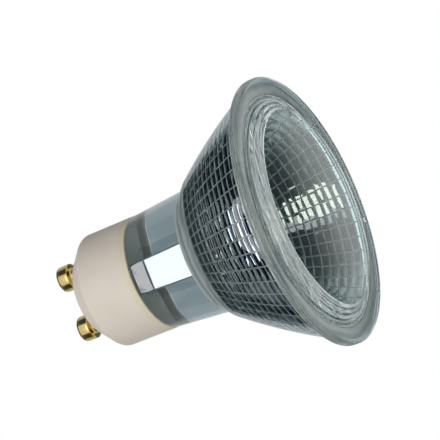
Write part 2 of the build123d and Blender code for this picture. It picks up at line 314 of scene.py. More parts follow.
@dataclass(frozen=True)
class TurnedBrass(Finish):
    """Free-cutting brass, turned and left bright: yellow, with fine rings round the axis."""

    colour: str = "#f6e3a2"
    shade: str = "#e6ca78"
    roughness: float = 0.16
    cloud_mm: float = 1.2
    ring_mm: float = 0.377
    ring_depth_mm: float = 0.003

    def dress(self, tree: bpy.types.NodeTree, shader: bpy.types.Node) -> None:
        """Set up brass with turning marks along the lamp's axis, coarser than real ones so that they show."""
        colour = self.between(tree, self.noise(tree, self.cloud_mm), self.shade, self.colour)
        tree.links.new(colour, shader.inputs["Base Color"])
        shader.inputs["Metallic"].default_value = 1.0
        shader.inputs["Roughness"].default_value = self.roughness
        rings = self.ridges(tree, self.ring_mm, {"Distortion": 0.4}, bands_direction="Z")
        self.bump(tree, shader, rings, self.ring_depth_mm)


@dataclass(frozen=True)
class DrawnWire(Finish):
    """A drawn or rolled metal: straight-grained, neither polished nor dull."""

    colour: str = "#8c8a86"
    shade: str = "#6f6d6a"
    roughness: float = 0.35
    grain_mm: float = 0.2

    def dress(self, tree: bpy.types.NodeTree, shader: bpy.types.Node) -> None:
        """Set up the metal with a fine uneven tone."""
        colour = self.between(tree, self.noise(tree, self.grain_mm), self.shade, self.colour)
        tree.links.new(colour, shader.inputs["Base Color"])
        shader.inputs["Metallic"].default_value = 1.0
        shader.inputs["Roughness"].default_value = self.roughness


@dataclass(frozen=True)
class Cement(Finish):
    """Ceramic lamp cement, pushed in wet and baked: chalky, gritty and off-white."""

    colour: str = "#d8d2c2"
    shade: str = "#b9b19f"
    grit_mm: float = 0.35
    grit_depth_mm: float = 0.06

    def dress(self, tree: bpy.types.NodeTree, shader: bpy.types.Node) -> None:
        """Set up the gritty, dull body."""
        grit = self.noise(tree, self.grit_mm, 4.0)
        tree.links.new(self.between(tree, grit, self.shade, self.colour), shader.inputs["Base Color"])
        shader.inputs["Roughness"].default_value = 0.9
        self.bump(tree, shader, grit, self.grit_depth_mm)


CLEAR_GLASS = PressedGlass("borosilicate glass, pressed and fire polished")
WAVY_GLASS = PressedGlass("borosilicate glass, pressed thick", wave_mm=6.0, wave_depth_mm=0.06)
QUARTZ_GLASS = PressedGlass("fused quartz, blown and pinched", tint="#f8fafa", ior=1.458, wave_mm=3.0)
RINGED_GLASS = PressedGlass(
    "borosilicate glass, pressed in a turned mould", ring_mm=0.62, ring_depth_mm=0.003
)
DULLED_GLASS = Milky(
    "borosilicate glass, dulled by the mould's parting ring",
    colour="#c9d4d4", shade="#8f9c9c", streak_mm=0.8, clearness=0.45, roughness=0.3,
)
SILICONE = Milky("silicone adhesive, cured in the joint")
# The mirror film's colour is darker than bare aluminium: painted shade that keeps its cells dark.
MIRROR = MirrorFilm("aluminium film, evaporated on glass")
# The ridges' film is a paler copy of the mirror's: painted sheen for the light the ridges catch. Their higher
# roughness is real.
RIDGE = MirrorFilm("aluminium film, dull over the rounded ridges", colour="#eef3f4", roughness=0.65)
DULL_FILM = MirrorFilm("aluminium film, dull on the bare moulding", colour="#bcbdba", roughness=0.65)
CERAMIC = Steatite("steatite, pressed and fired unglazed")
BRASS = TurnedBrass("brass, turned bright")
TUNGSTEN = DrawnWire("tungsten wire, drawn", colour="#6b6a6c", shade="#4a494b")
MOLYBDENUM = DrawnWire("molybdenum foil, rolled", colour="#a3a2a4", shade="#8a898b", roughness=0.25)
LEAD_WIRE = DrawnWire("nickel wire, drawn", colour="#b9b5ae", shade="#9a968f")
SOLDER = DrawnWire("tin solder, flowed", colour="#c4c5c6", shade="#a7a8aa", roughness=0.18)
GLASS_FIBRE = Cement("glass-fibre sleeve, braided", colour="#e6e3d8", shade="#c9c5b6", grit_mm=0.3)
LAMP_CEMENT = Cement("lamp cement, baked", colour="#efece4", shade="#dedad0")


def rounded(profile: Sequence[tuple[float, float, float]], steps: int = 5) -> list[Point]:
    """Round the corners of a profile.

    Args:
        profile: Radius, height and corner radius of each corner, in millimetres. The ends stay sharp.
        steps: How many chords each rounded corner has.

    Returns:
        The points of the rounded profile.
    """
    points: list[Point] = [profile[0][:2]]
    for before, corner, after in zip(profile, profile[1:], profile[2:]):
        here, reach = Vector(corner[:2]), corner[2]
        back, ahead = Vector(before[:2]) - here, Vector(after[:2]) - here
        if reach <= 0 or back.length == 0 or ahead.length == 0:
            points.append(corner[:2])
            continue
        half = back.angle(ahead) / 2
        cut = min(reach / math.tan(half), 0.49 * back.length, 0.49 * ahead.length)
        start, end = here + back.normalized() * cut, here + ahead.normalized() * cut
        for step in range(steps + 1):
            t = step / steps
            bend = start * (1 - t) ** 2 + here * 2 * t * (1 - t) + end * t ** 2
            points.append((bend.x, bend.y))
    points.append(profile[-1][:2])
    return points


class Shape:
    """A mesh in the making: points in millimetres, and faces with a material each."""

    def __init__(self) -> None:
        """Start an empty shape."""
        self.points: list[Place] = []
        self.faces: list[tuple[int, ...]] = []
        self.materials: list[int] = []

    def add(self, points: Iterable[Place]) -> list[int]:
        """Add points and give their numbers."""
        first = len(self.points)
        self.points.extend(points)
        return list(range(first, len(self.points)))

    def face(self, corners: Sequence[int], material: int = 0) -> None:
        """Add a face."""
        self.faces.append(tuple(corners))
        self.materials.append(material)

    def turn(
        self,
        profile: Sequence[Point],
        segments: int,
        centre: Point = (0.0, 0.0),
    ) -> list[list[int]]:
        """Turn a profile round an axis along Z.

        Args:
            profile: Radius and height of each point. A radius of 0 is a pole.
            segments: How many flats go round.
            centre: Where the axis is.

        Returns:
            The rings of point numbers, one for each profile point.
        """
        rings = []
        for radius, height in profile:
            if radius < 1e-6:
                rings.append(self.add([(centre[0], centre[1], height)]))
                continue
            angles = (2 * math.pi * step / segments for step in range(segments))
            rings.append(self.add(
                (centre[0] + radius * math.cos(a), centre[1] + radius * math.sin(a), height) for a in angles
            ))
        for lower, upper in zip(rings, rings[1:]):
            for step in range(segments):
                after = (step + 1) % segments
                if len(lower) == 1 and len(upper) == 1:
                    continue
                if len(lower) == 1:
                    self.face((lower[0], upper[after], upper[step]))
                elif len(upper) == 1:
                    self.face((lower[step], lower[after], upper[0]))
                else:
                    self.face((lower[step], lower[after], upper[after], upper[step]))
        return rings

    def build(self, name: str, finishes: Sequence[Finish], crease: float = 30.0) -> bpy.types.Object:
        """Make the object: faces outwards, smooth but for creases sharper than an angle in degrees."""
        mesh = bpy.data.meshes.new(name)
        mesh.from_pydata([tuple(v * MM for v in point) for point in self.points], [], self.faces)
        for finish in finishes:
            mesh.materials.append(finish.material())
        mesh.polygons.foreach_set("material_index", self.materials)
        made = bpy.data.objects.new(name, mesh)
        bpy.context.scene.collection.objects.link(made)
        smooth(made, crease)
        return made


def smooth(piece: bpy.types.Object, crease: float, merge_mm: float = 0.0005) -> None:
    """Merge doubles, turn faces outwards and shade smooth between creases.

    Args:
        piece: The mesh object.
        crease: The angle in degrees past which an edge stays sharp.
        merge_mm: How near two points are to count as one.
    """
    work = bmesh.new()
    work.from_mesh(piece.data)
    bmesh.ops.remove_doubles(work, verts=work.verts, dist=merge_mm * MM)
    bmesh.ops.dissolve_degenerate(work, edges=work.edges, dist=merge_mm * MM / 5)
    bmesh.ops.recalc_face_normals(work, faces=work.faces)
    for face in work.faces:
        face.smooth = True
    for edge in work.edges:
        edge.smooth = len(edge.link_faces) == 2 and edge.calc_face_angle(0.0) < math.radians(crease)
    work.to_mesh(piece.data)
    work.free()


def plain(piece: bpy.types.Object) -> bpy.types.Object:
    """Turn an object with modifiers into a plain mesh."""
    ready = piece.evaluated_get(bpy.context.evaluated_depsgraph_get())
    mesh = bpy.data.meshes.new_from_object(ready)
    piece.modifiers.clear()
    piece.data = mesh
    return piece


def carve(piece: bpy.types.Object, cutter: bpy.types.Object) -> None:
    """Cut one closed mesh out of another, and remove the cutter."""
    cut = piece.modifiers.new("cut", "BOOLEAN")
    cut.object = cutter
    cut.operation = "DIFFERENCE"
    cut.solver = "EXACT"
    cut.material_mode = "TRANSFER"
    plain(piece)
    bpy.data.objects.remove(cutter)


def bore(
    piece: bpy.types.Object, centre: Point, radius: float, low: float, high: float, finish: Finish
) -> None:
    """Cut a round hole along Z into a piece.

    Args:
        piece: The closed mesh that is cut.
        centre: Where the hole's axis is.
        radius: The hole's radius.
        low: Its lower end. The cutter goes past both ends.
        high: Its upper end.
        finish: What its wall is made of.
    """
    low, high = low - CUT_PAST, high + CUT_PAST
    pin = Shape()
    pin.turn([(0.0, low), (radius, low), (radius, high), (0.0, high)], BORE_SEGMENTS, centre)
    carve(piece, pin.build("bore", [finish]))


def rounded_rectangle(width: float, depth: float, corner: float, steps: int = 6) -> list[Point]:
    """The outline of a rectangle with round corners, in X and Y, anticlockwise."""
    outline = []
    for quarter, (sx, sy) in enumerate(((1, 1), (-1, 1), (-1, -1), (1, -1))):
        for step in range(steps + 1):
            angle = math.radians(90 * (quarter + step / steps))
            outline.append((
                sx * (width / 2 - corner) + corner * math.cos(angle),
                sy * (depth / 2 - corner) + corner * math.sin(angle),
            ))
    return outline


class GeometryTree:
    """A Geometry Nodes tree with named sizes, which ends in Realize Instances and Set Material."""

    def __init__(self, name: str, sizes: dict[str, float]) -> None:
        """Start the tree.

        Args:
            name: The tree's name.
            sizes: The named inputs and their values, in metres, turns or counts.
        """
        self.tree = bpy.data.node_groups.new(name, "GeometryNodeTree")
        self.sizes = sizes
        face = self.tree.interface
        face.new_socket("Geometry", in_out="INPUT", socket_type="NodeSocketGeometry")
        self.sockets = {
            label: face.new_socket(label, in_out="INPUT", socket_type="NodeSocketFloat") for label in sizes
        }
        face.new_socket("Geometry", in_out="OUTPUT", socket_type="NodeSocketGeometry")
        self.inputs = self.tree.nodes.new("NodeGroupInput").outputs

    def node(self, kind: str, values: dict | None = None, links: dict | None = None, **settings: Any) -> Any:
        """Add a node."""
        return add_node(self.tree, kind, values, links, **settings)

    def math(self, operation: str, one: Any, two: Any = 0.0) -> Socket:
        """Work out a sum from sockets or numbers."""
        made = self.node("ShaderNodeMath", operation=operation)
        for at, value in enumerate((one, two)):
            if isinstance(value, Socket):
                self.tree.links.new(value, made.inputs[at])
            else:
                made.inputs[at].default_value = value
        return made.outputs[0]

    def finish(self, geometry: Socket, *coats: tuple[Finish, Socket | None]) -> None:
        """End the tree.

        Args:
            geometry: What the tree has grown.
            coats: Finishes in order, each with the socket that picks its faces, or None for all of them.
        """
        last = self.node("GeometryNodeRealizeInstances", links={0: geometry}).outputs[0]
        for finish, chosen in coats:
            links = {"Geometry": last, "Selection": chosen} if chosen else {"Geometry": last}
            last = self.node("GeometryNodeSetMaterial", {"Material": finish.material()}, links).outputs[0]
        self.node("NodeGroupOutput", links={0: last})

    def build(self, name: str, finishes: Sequence[Finish]) -> bpy.types.Object:
        """Run the tree on an empty mesh and give the plain result."""
        mesh = bpy.data.meshes.new(name)
        for finish in finishes:
            mesh.materials.append(finish.material())
        made = bpy.data.objects.new(name, mesh)
        bpy.context.scene.collection.objects.link(made)
        grow = made.modifiers.new("grow", "NODES")
        grow.node_group = self.tree
        for label, socket in self.sockets.items():
            grow[socket.identifier] = float(self.sizes[label])
        return plain(made)


@dataclass
class Reflector:
    """Pressed glass bowl and neck in one, mirrored on its faceted inside and in the slot of the neck."""

    mouth_outer_radius: float = 24.1
    mouth_inner_radius: float = 22.4
    mouth_z: float = 3.05
    bowl_bulge: float = 0.45
    bowl_steps: int = 24
    shoulder_radius: float = 14.1
    shoulder_z: float = 20.2
    shoulder_round: float = 0.8
    neck_radius: float = 11.95
    neck_z: float = 22.5
    neck_corner: float = 0.4
    cap_joint_radius: float = 11.0
    cap_joint_z: float = 34.4
    joint_round: float = 0.25
    joint_fillet: float = 0.2
    spigot_radius: float = 9.85
    spigot_end_z: float = 41.2
    spigot_chamfer: float = 0.5
    spigot_round: float = 0.1
    vertex_z: float = 25.0
    floor_z: float = 23.9
    facet_columns: int = 48
    facet_rings: int = 16
    facet_groove: float = 0.13
    facet_relief: float = 0.07
    pillow_border: float = 0.35
    pillow_rise: float = 0.035
    facet_tilt: float = 0.045
    facet_seed: int = 7
    seam: float = 0.001
    slot_thickness: float = 4.8
    slot_width: float = 9.8
    slot_corner: float = 0.3
    slot_draft: float = 1.7
    slot_end_z: float = 33.3
    flare_z: float = 32.7
    flare: float = 0.92
    band_z: float = 18.7
    recess_radius: float = 7.6
    recess_z: float = 35.2
    recess_lead: tuple[float, float] = (0.27, 1.5)
    recess_segments: int = 96
    cement_margins: tuple[float, float, float] = (0.05, 0.2, 0.1)
    segments_per_facet: int = 4
    crease: float = 14.0

    @property
    def focus(self) -> float:
        """Focal length of the mirror's paraboloid."""
        return self.mouth_inner_radius ** 2 / (4 * (self.vertex_z - self.mouth_z))

    def outside(self) -> list[Point]:
        """The outer profile, from the mouth to the end of the spigot."""
        start = Vector((self.mouth_outer_radius, self.mouth_z))
        across = Vector((self.shoulder_radius, self.shoulder_z)) - start
        normal = Vector((-across.y, across.x)).normalized()
        if normal.x < 0:
            normal = -normal
        bowl = []
        for step in range(self.bowl_steps):
            t = step / self.bowl_steps
            bulge = self.bowl_bulge * 4 * t * (1 - t)
            point = start + across * t + normal * bulge
            bowl.append((point.x, point.y, 0.0))
        return rounded([
            *bowl,
            (self.shoulder_radius, self.shoulder_z, self.shoulder_round),
            (self.neck_radius, self.neck_z, 2 * self.neck_corner),
            (self.cap_joint_radius, self.cap_joint_z, self.joint_round),
            (self.spigot_radius, self.cap_joint_z, self.joint_fillet),
            (self.spigot_radius, self.spigot_end_z - self.spigot_chamfer, self.spigot_round),
            (self.spigot_radius - self.spigot_chamfer, self.spigot_end_z, self.spigot_round),
            (0.0, self.spigot_end_z, 0.0),
        ])

    def facets(self) -> bpy.types.Object:
        """Grow the mirror: a paraboloid of flat cells, each sunk a little between narrow ridges."""
        grown = GeometryTree("mirror facets", {
            "Columns": self.facet_columns,
            "Rings": self.facet_rings,
            "Focus": self.focus * MM,
            "Vertex": self.vertex_z * MM,
            "Mouth": self.mouth_z * MM,
            "Floor": self.floor_z * MM,
            "Groove": self.facet_groove * MM,
            "Relief": self.facet_relief * MM,
            "Pillow border": self.pillow_border * MM,
            "Pillow rise": self.pillow_rise * MM,
            "Tilt": self.facet_tilt,
        })
        size, node, maths = grown.inputs, grown.node, grown.math
        columns, rings = size["Columns"], size["Rings"]
        sheet = node(
            "GeometryNodeMeshGrid",
            {"Size X": 1.0, "Size Y": 1.0},
            {"Vertices X": maths("ADD", columns, 1.0), "Vertices Y": maths("ADD", rings, 1.0)},
        )
        across = node("ShaderNodeSeparateXYZ", links={0: node("GeometryNodeInputPosition").outputs[0]})
        turn = maths("MULTIPLY", maths("ADD", across.outputs["X"], 0.5), 2 * math.pi)
        share = maths("ADD", across.outputs["Y"], 0.5)
        depth = maths("MULTIPLY", share, maths("SUBTRACT", size["Floor"], size["Mouth"]))
        height = maths("ADD", size["Mouth"], depth)
        below = maths("SUBTRACT", size["Vertex"], height)
        radius = maths("SQRT", maths("MULTIPLY", maths("MULTIPLY", size["Focus"], 4.0), below))
        bowl = node("GeometryNodeSetPosition", links={
            "Geometry": sheet.outputs["Mesh"],
            "Position": node("ShaderNodeCombineXYZ", links={
                "X": maths("MULTIPLY", radius, maths("COSINE", turn)),
                "Y": maths("MULTIPLY", radius, maths("SINE", turn)),
                "Z": height,
            }).outputs[0],
        })
        closed = node(
            "GeometryNodeMergeByDistance", {"Distance": self.seam * MM}, {"Geometry": bowl.outputs[0]}
        )
        cells = node("GeometryNodeCaptureAttribute", links={"Geometry": closed.outputs[0]}, domain="FACE")
        cells.capture_items.new("VECTOR", "Centre")
        cells.capture_items.new("VECTOR", "Lean")
        lean = node(
            "FunctionNodeRandomValue", {0: (-1.0, -1.0, -1.0), 1: (1.0, 1.0, 1.0), "Seed": self.facet_seed},
            data_type="FLOAT_VECTOR",
        )
        grown.tree.links.new(node("GeometryNodeInputPosition").outputs[0], cells.inputs["Centre"])
        grown.tree.links.new(lean.outputs[0], cells.inputs["Lean"])
        sunk = node(
            "GeometryNodeExtrudeMesh",
            links={"Mesh": cells.outputs["Geometry"], "Offset Scale": size["Relief"]},
            mode="FACES",
        )
        sunk.inputs["Individual"].default_value = True
        normal = node("GeometryNodeInputNormal").outputs[0]
        spot = node("GeometryNodeInputPosition").outputs[0]
        axis = (0.0, 0.0, 1.0)
        turned = node("ShaderNodeVectorMath", {0: axis}, {1: spot}, operation="CROSS_PRODUCT").outputs[0]
        round_way = node("ShaderNodeVectorMath", links={0: turned}, operation="NORMALIZE").outputs[0]
        slope_way = node(
            "ShaderNodeVectorMath", links={0: normal, 1: round_way}, operation="CROSS_PRODUCT"
        ).outputs[0]
        apart = node("ShaderNodeSeparateXYZ", links={0: spot})
        reach = node("ShaderNodeCombineXYZ", links={"X": apart.outputs["X"], "Y": apart.outputs["Y"]})
        reach = node("ShaderNodeVectorMath", links={0: reach.outputs[0]}, operation="LENGTH").outputs["Value"]
        half_turn = maths("TANGENT", maths("DIVIDE", math.pi, columns))
        width = maths("MULTIPLY", reach, maths("MULTIPLY", 2.0, half_turn))
        area = node("GeometryNodeInputMeshFaceArea").outputs[0]
        kept = node("GeometryNodeCaptureAttribute", links={"Geometry": sunk.outputs["Mesh"]}, domain="FACE")
        for kind, label, source in (
            ("FLOAT", "Width", width),
            ("FLOAT", "Length", maths("DIVIDE", area, width)),
            ("VECTOR", "Round way", round_way),
            ("VECTOR", "Slope way", slope_way),
            ("VECTOR", "Normal", normal),
        ):
            kept.capture_items.new(kind, label)
            grown.tree.links.new(source, kept.inputs[label])
        last = self.inset(grown, kept, kept.outputs["Geometry"], sunk.outputs["Top"], size["Groove"])
        raised = node(
            "GeometryNodeExtrudeMesh",
            links={"Mesh": last, "Selection": sunk.outputs["Top"], "Offset Scale": size["Pillow rise"]},
            mode="FACES",
        )
        raised.inputs["Individual"].default_value = True
        last = self.inset(grown, kept, raised.outputs["Mesh"], raised.outputs["Top"], size["Pillow border"])
        last = self.lean(grown, kept, cells, last, sunk.outputs["Side"])
        grown.finish(last, (MIRROR, None), (RIDGE, sunk.outputs["Side"]))
        return grown.build("mirror_facets", [MIRROR, RIDGE])

    @staticmethod
    def lean(
        grown: GeometryTree,
        kept: bpy.types.Node,
        cells: bpy.types.Node,
        geometry: Socket,
        ridges: Socket,
    ) -> Socket:
        """Turn each cell a little out of true, as pressed cells are.

        Args:
            grown: The tree that grows the mirror.
            kept: The node that holds each cell's normal.
            cells: The node that holds each cell's centre and which way it leans.
            geometry: The mirror so far.
            ridges: Which faces are ridges, whose outer points stay.

        Returns:
            The mirror with its cells turned.
        """
        from_centre = grown.node(
            "ShaderNodeVectorMath",
            links={0: grown.node("GeometryNodeInputPosition").outputs[0], 1: cells.outputs["Centre"]},
            operation="SUBTRACT",
        )
        share = grown.node(
            "ShaderNodeVectorMath",
            links={0: from_centre.outputs[0], 1: cells.outputs["Lean"]},
            operation="DOT_PRODUCT",
        )
        amount = grown.math("MULTIPLY", share.outputs["Value"], grown.inputs["Tilt"])
        offset = grown.node(
            "ShaderNodeVectorMath", links={0: kept.outputs["Normal"], "Scale": amount}, operation="SCALE"
        )
        # A point is on a ridge if any face round it is, so only the corners of the pillows move.
        whole = grown.node("FunctionNodeBooleanMath", links={0: ridges}, operation="NOT")
        moved = grown.node(
            "GeometryNodeSetPosition",
            links={"Geometry": geometry, "Offset": offset.outputs[0], "Selection": whole.outputs[0]},
        )
        return moved.outputs[0]

    @staticmethod
    def inset(
        grown: GeometryTree,
        kept: bpy.types.Node,
        geometry: Socket,
        faces: Socket,
        border: Socket,
    ) -> Socket:
        """Draw the edges of each cell in by a border, round the bowl and along its slope.

        Args:
            grown: The tree that grows the mirror.
            kept: The node that holds each cell's ways, width and length.
            geometry: The mirror so far.
            faces: Which faces are drawn in.
            border: How far.

        Returns:
            The mirror with its cells drawn in.
        """
        for way, length in (("Round way", "Width"), ("Slope way", "Length")):
            both = grown.math("DIVIDE", grown.math("MULTIPLY", border, 2.0), kept.outputs[length])
            geometry = grown.node(
                "GeometryNodeScaleElements",
                links={
                    "Geometry": geometry,
                    "Selection": faces,
                    "Scale": grown.math("SUBTRACT", 1.0, both),
                    "Axis": kept.outputs[way],
                },
                domain="FACE",
                scale_mode="SINGLE_AXIS",
            ).outputs[0]
        return geometry

    def build(self) -> bpy.types.Object:
        """Join the turned outside to the mirror, and cut the slot and the recess."""
        facets = self.facets()
        shape = Shape()
        rings = shape.turn(self.outside(), self.facet_columns * self.segments_per_facet)
        mouth = rings[0]
        per = self.segments_per_facet
        inner = shape.add(self.ring(self.mouth_inner_radius, self.mouth_z))
        floor_radius = math.sqrt(4 * self.focus * (self.vertex_z - self.floor_z))
        floor = shape.add(self.ring(floor_radius, self.floor_z))
        for column in range(self.facet_columns):
            after = (column + 1) % self.facet_columns
            outer = [mouth[(column * per + step) % len(mouth)] for step in range(per + 1)]
            shape.face([inner[column], *outer, inner[after]])
        shape.face(floor, Face.MIRROR)
        offset = len(shape.points)
        shape.points.extend(tuple(v.co / MM) for v in facets.data.vertices)
        films = [
            Face.RIDGE if material and material.name == RIDGE.name else Face.MIRROR
            for material in facets.data.materials
        ]
        for polygon in facets.data.polygons:
            shape.face([offset + v for v in polygon.vertices], films[polygon.material_index])
        bpy.data.objects.remove(facets)
        made = shape.build("reflector_glass", [WAVY_GLASS, MIRROR, RIDGE, LAMP_CEMENT, DULLED_GLASS])
        carve(made, self.slot(self.floor_z - self.slot_corner, self.recess_z + CUT_PAST))
        recess = Shape()
        wide, lead_end = self.recess_radius + self.recess_lead[0], self.recess_z + self.recess_lead[1]
        top = self.spigot_end_z + CUT_PAST
        recess.turn(
            [(0.0, self.recess_z), (self.recess_radius, self.recess_z), (wide, lead_end),
             (wide, top), (0.0, top)],
            self.recess_segments,
        )
        carve(made, recess.build("recess", [DULL_FILM]))
        for polygon in made.data.polygons:
            if polygon.material_index == Face.GLASS:
                polygon.material_index = self.coat(math.hypot(*polygon.center.xy) / MM, polygon.center.z / MM)
        smooth(made, self.crease)
        return made

    def coat(self, radius: float, height: float) -> Face:
        """What covers the bare glass at a radius and height: cement on the spigot, or the dulled ring."""
        below, above, inside = self.cement_margins
        on_spigot = self.cap_joint_z - below < height < self.spigot_end_z - above
        if on_spigot and radius > self.recess_radius + inside:
            return Face.CEMENTED
        if radius > self.neck_radius and height > self.band_z:
            return Face.DULLED
        return Face.GLASS

    def slot(self, low: float, high: float) -> bpy.types.Object:
        """The block that the slot leaves room for, with the mould's draft, between two heights.

        Its narrow ends flare towards the recess, where the capsule's pinch goes in.
        """
        shape = Shape()
        rings = []
        for height, flare in ((low, 0.0), (self.flare_z, 0.0), (high, self.flare)):
            grown = 2 * (self.slot_end_z - height) * math.tan(math.radians(self.slot_draft))
            width = self.slot_width + grown + 2 * flare
            outline = rounded_rectangle(self.slot_thickness + grown, width, self.slot_corner)
            rings.append(shape.add((x, y, height) for x, y in outline))
        shape.face(rings[0][::-1])
        shape.face(rings[2])
        for lower, upper in zip(rings, rings[1:]):
            for step in range(len(lower)):
                after = (step + 1) % len(lower)
                shape.face((lower[step], lower[after], upper[after], upper[step]))
        return shape.build("slot", [MIRROR])

    def ring(self, radius: float, height: float) -> list[Place]:
        """The corners of the mirror's polygon at a height."""
        angles = (2 * math.pi * column / self.facet_columns for column in range(self.facet_columns))
        return [(radius * math.cos(a), radius * math.sin(a), height) for a in angles]


@dataclass
class FrontGlass:
    """Pressed front glass: a raised window, rounded steps down to a trough, and a flange."""

    rim_radius: float = 25.34
    window_rise: float = 1.3
    window_thickness: float = 2.2
    window_edge: float = 0.35
    step_count: int = 3
    step_face_run: float = 0.34
    step_face_rise: float = 0.5
    step_tread_run: float = 0.51
    step_tread_rise: float = 0.07
    step_round: float = 0.12
    trough_width: float = 0.65
    trough_round: float = 0.2
    flange_width: float = 3.1
    flange_thickness: float = 1.6
    flange_round: float = 0.45
    flange_lean: float = 0.3
    back_round: float = 0.2
    spigot_radius: float = 22.01
    spigot_wall: float = 0.9
    spigot_height: float = 0.8
    spigot_rounds: tuple[float, float, float, float] = (0.1, 0.15, 0.25, 0.5)
    notch_radius: float = 0.8
    notch_depth: float = 0.45
    notch_angles: tuple[float, float] = (104.0, 139.0)
    segments: int = 192
    crease: float = 40.0

    @property
    def window_radius(self) -> float:
        """Where the flat window ends and its steps begin."""
        steps = self.step_count * (self.step_face_run + self.step_tread_run)
        return self.rim_radius - self.flange_round - self.flange_width - self.trough_width - steps

    def profile(self) -> list[Point]:
        """From the middle of the window out to the rim and back to the middle of the inner face."""
        front = self.rim_radius - self.flange_round
        trough = front - self.flange_width
        run, rise = self.step_face_run + self.step_tread_run, self.step_face_rise + self.step_tread_rise
        window = self.window_radius
        back = self.window_rise + self.flange_thickness
        corners = [(0.0, 0.0, 0.0)]
        for number in range(self.step_count):
            radius, height = window + number * run, number * rise
            corners.append((radius, height, self.window_edge if number == 0 else self.step_round))
            corners.append((radius + self.step_face_run, height + self.step_face_rise, self.step_round))
        height = self.step_count * rise
        corners += [
            (trough - self.trough_width, height, self.step_round),
            (trough, height, self.trough_round),
            (front + self.flange_round * self.flange_lean, self.window_rise, self.flange_round),
            (self.rim_radius, self.window_rise + self.flange_round, self.flange_round),
            (self.rim_radius, back, self.back_round),
            (self.spigot_radius, back, self.spigot_rounds[0]),
            (self.spigot_radius, back + self.spigot_height, self.spigot_rounds[1]),
            (self.spigot_radius - self.spigot_wall, back + self.spigot_height, self.spigot_rounds[2]),
            (self.spigot_radius - self.spigot_wall, self.window_thickness, self.spigot_rounds[3]),
            (0.0, self.window_thickness, 0.0),
        ]
        return rounded(corners)

    def build(self) -> bpy.types.Object:
        """Turn the glass and press the two notches into its rim."""
        shape = Shape()
        shape.turn(self.profile(), self.segments)
        finishes = [RINGED_GLASS, CLEAR_GLASS]
        made = shape.build("front_glass_clear", finishes, crease=self.crease)
        reach = self.rim_radius + self.notch_radius - self.notch_depth
        back = self.window_rise + self.flange_thickness
        for angle in map(math.radians, self.notch_angles):
            centre = (reach * math.cos(angle), reach * math.sin(angle))
            bore(made, centre, self.notch_radius, self.window_rise, back, RINGED_GLASS)
        for polygon in made.data.polygons:
            if math.hypot(*polygon.center.xy) / MM < self.window_radius:
                polygon.material_index = finishes.index(CLEAR_GLASS)
        smooth(made, self.crease)
        return made


@dataclass
class CeramicCap:
    """Fired cap with a socket for the neck, a bevelled end and two holes for the contacts."""

    radius: float = 11.05
    socket_radius: float = 10.15
    mouth_z: float = 34.5
    floor_z: float = 43.0
    end_z: float = 48.4
    bevel: float = 3.5
    bevel_round: float = 0.9
    mouth_round: float = 0.3
    hole_radius: float = 1.55
    contact_x: float = 5.0
    segments: int = 160
    crease: float = 35.0

    def build(self) -> bpy.types.Object:
        """Turn the cap and drill it."""
        shape = Shape()
        shape.turn(
            rounded([
                (self.socket_radius, self.mouth_z, 0.0),
                (self.radius, self.mouth_z, self.mouth_round),
                (self.radius, self.end_z - self.bevel, self.bevel_round),
                (self.radius - self.bevel, self.end_z, self.bevel_round),
                (0.0, self.end_z, 0.0),
            ], steps=8)
            + [(0.0, self.floor_z), (self.socket_radius, self.floor_z), (self.socket_radius, self.mouth_z)],
            self.segments,
        )
        made = shape.build("ceramic_cap_fired", [CERAMIC])
        for side in (-1, 1):
            bore(made, (side * self.contact_x, 0.0), self.hole_radius, self.floor_z, self.end_z, CERAMIC)
        smooth(made, self.crease)
        return made


@dataclass
class Contact:
    """Turned brass contact: rivet, shank, foot, neck and mushroom head."""

    side: int = 1
    x: float = 5.0
    rivet_z: float = 42.4
    floor_z: float = 43.0
    cap_end_z: float = 48.4
    foot_radius: float = 2.4
    foot_height: float = 1.2
    foot_round: float = 0.1
    neck_radius: float = 1.5
    neck_height: float = 1.5
    head_radius: float = 2.5
    head_height: float = 2.5
    head_round: float = 0.6
    shank_radius: float = 1.5
    rivet_radius: float = 2.1
    bore_radius: float = 0.6
    bore_depth: float = 5.0
    edge: float = 0.15
    fine_edge: float = 0.05
    segments: int = 72
    crease: float = 40.0

    def build(self) -> bpy.types.Object:
        """Turn the contact."""
        foot = self.cap_end_z + self.foot_height
        head = foot + self.neck_height
        end = head + self.head_height
        profile = rounded([
            (0.0, self.rivet_z + self.bore_depth, 0.0),
            (self.bore_radius, self.rivet_z + self.bore_depth, self.fine_edge),
            (self.bore_radius, self.rivet_z, self.fine_edge),
            (self.rivet_radius, self.rivet_z, self.edge),
            (self.rivet_radius, self.floor_z, self.fine_edge),
            (self.shank_radius, self.floor_z, 0.0),
            (self.shank_radius, self.cap_end_z, 0.0),
            (self.foot_radius, self.cap_end_z, self.foot_round),
            (self.foot_radius, foot, self.edge),
            (self.neck_radius, foot, self.edge),
            (self.neck_radius, head, self.edge),
            (self.head_radius, head, self.edge),
            (self.head_radius, end, self.head_round),
            (0.0, end, 0.0),
        ])
        shape = Shape()
        shape.turn(profile, self.segments, centre=(self.side * self.x, 0.0))
        name = "contact_right_turned" if self.side > 0 else "contact_left_turned"
        return shape.build(name, [BRASS], crease=self.crease)


